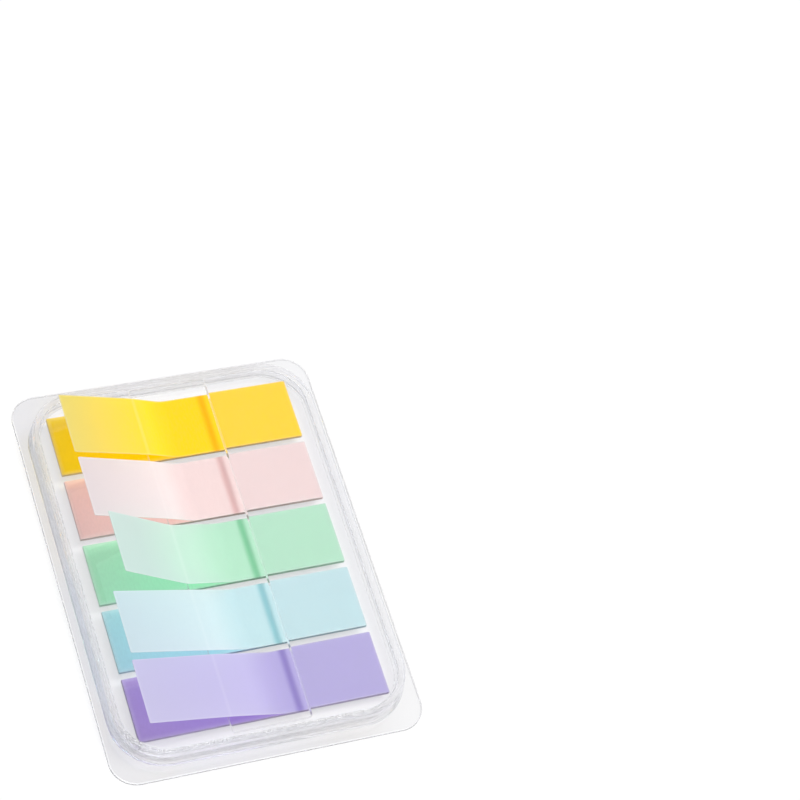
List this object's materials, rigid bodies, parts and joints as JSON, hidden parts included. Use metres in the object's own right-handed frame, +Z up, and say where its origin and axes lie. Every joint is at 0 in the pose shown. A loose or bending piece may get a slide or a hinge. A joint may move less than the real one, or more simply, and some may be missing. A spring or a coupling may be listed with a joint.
{
  "type": "sticky index tab dispenser",
  "caption": "Flat clear dispenser case with pads of translucent coloured film index flags; each pad's top flag rises through one long window in the cover.",
  "frame": {"origin": "middle of the case's underside", "axes": "+X along the flags towards their fixed ends, +Y across the row of pads towards the yellow one, +Z up through the cover"},
  "size_m": [0.0564, 0.0782, 0.0141],
  "materials": {
    "clear_plastic": "clear glossy moulded plastic",
    "pad_yellow": "stack of satin yellow film",
    "film_yellow": "translucent satin yellow film",
    "pad_pink": "stack of satin pink film",
    "film_pink": "translucent satin pink film",
    "pad_green": "stack of satin green film",
    "film_green": "translucent satin green film",
    "pad_blue": "stack of satin blue film",
    "film_blue": "translucent satin blue film",
    "pad_purple": "stack of satin purple film",
    "film_purple": "translucent satin purple film"
  },
  "bodies": {
    "root": {"case_base": "clear_plastic", "case_cover": "clear_plastic", "pad_yellow": "pad_yellow", "flag_yellow": "film_yellow", "pad_pink": "pad_pink", "flag_pink": "film_pink", "pad_green": "pad_green", "flag_green": "film_green", "pad_blue": "pad_blue", "flag_blue": "film_blue", "pad_purple": "pad_purple", "flag_purple": "film_purple"}
  },
  "joints": []
}
